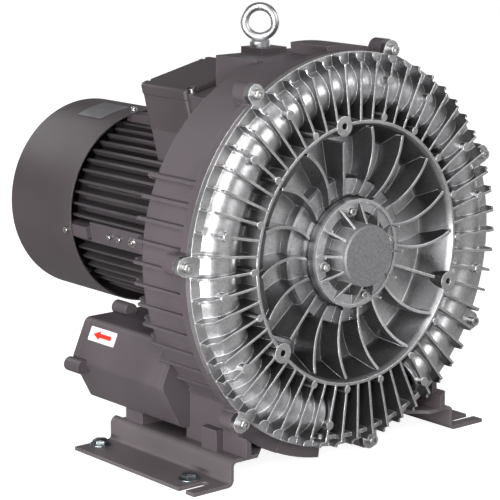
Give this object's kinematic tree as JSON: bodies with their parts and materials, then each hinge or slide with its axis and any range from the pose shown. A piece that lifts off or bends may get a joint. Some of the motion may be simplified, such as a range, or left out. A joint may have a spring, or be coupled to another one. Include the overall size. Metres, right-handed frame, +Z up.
{
  "type": "side channel blower",
  "caption": "Side channel blower: finned front cover, channel housing, electric motor behind it, silencers with threaded ports and a foot bracket below.",
  "frame": {"origin": "middle of the four foot holes, on the floor", "axes": "+Z up, -Y to the finned front cover, +X to the right seen from the front; the shaft runs along Y"},
  "size_m": [0.4998, 0.585, 0.5449],
  "materials": {
    "housing_paint": "fine textured paint",
    "cast_cover": "as cast, bright",
    "cast_cap": "as cast, fine grain",
    "motor_paint": "satin paint",
    "cowl_paint": "satin paint",
    "zinc_steel": "zinc plated",
    "eye_steel": "zinc plated, dull",
    "foot_paint": "satin paint",
    "bright_steel": "ground",
    "cast_impeller": "as cast",
    "core_steel": "laminated",
    "copper_winding": "varnished",
    "black_plastic": "moulded",
    "brown_plastic": "moulded",
    "brass_studs": "plain",
    "black_rubber": "matt",
    "foam": "open foam",
    "plate_metal": "plain sheet"
  },
  "bodies": {
    "housing": {"channel_housing": "housing_paint", "front_cover": "cast_cover", "cover_screws": "zinc_steel", "bearing_cap": "cast_cap", "cap_screws": "zinc_steel", "frame_bolts": "zinc_steel", "front_bearing_outer": "bright_steel", "rear_bearing_outer": "bright_steel", "wave_spring": "bright_steel", "shaft_seal": "black_rubber", "motor_frame": "motor_paint", "stator_core": "core_steel", "stator_windings": "copper_winding", "rear_end_shield": "motor_paint", "shield_screws": "zinc_steel", "fan_cowl": "cowl_paint", "cowl_screws": "zinc_steel", "rating_plate": "plate_metal", "terminal_box": "cowl_paint", "lid_gasket": "black_rubber", "terminal_lid": "cowl_paint", "lid_screws": "zinc_steel", "terminal_block": "brown_plastic", "terminal_studs": "brass_studs", "cable_gland": "black_plastic", "earth_screws": "zinc_steel", "silencer_left": "housing_paint", "silencer_right": "housing_paint", "silencer_foam_left": "foam", "silencer_foam_right": "foam", "silencer_end_left": "housing_paint", "silencer_end_right": "housing_paint", "silencer_screws": "zinc_steel", "foot_bracket": "foot_paint", "foot_screws": "zinc_steel", "lifting_eye": "eye_steel"},
    "rotor": {"shaft": "bright_steel", "impeller": "cast_impeller", "impeller_key": "bright_steel", "shaft_washer": "zinc_steel", "shaft_bolt": "zinc_steel", "spacer_sleeve": "bright_steel", "front_bearing_inner": "bright_steel", "rear_bearing_inner": "bright_steel", "rotor_core": "core_steel", "cooling_fan": "black_plastic", "fan_key": "bright_steel", "fan_circlip": "zinc_steel"},
    "front_balls": {"front_bearing_balls": "bright_steel"},
    "rear_balls": {"rear_bearing_balls": "bright_steel"}
  },
  "joints": [
    {"name": "rotor_spin", "type": "hinge", "parent": "housing", "child": "rotor", "pos_m": [0, 0, 0.258], "axis": [0, 1, 0], "continuous": true},
    {"name": "front_balls_spin", "type": "hinge", "parent": "housing", "child": "front_balls", "pos_m": [0, -0.1275, 0.258], "axis": [0, 1, 0], "continuous": true},
    {"name": "rear_balls_spin", "type": "hinge", "parent": "housing", "child": "rear_balls", "pos_m": [0, 0.2755, 0.258], "axis": [0, 1, 0], "continuous": true}
  ],
  "couplings": [
    {"joint": "front_balls_spin", "follows": "rotor_spin", "ratio": 0.3824},
    {"joint": "rear_balls_spin", "follows": "rotor_spin", "ratio": 0.3824}
  ]
}
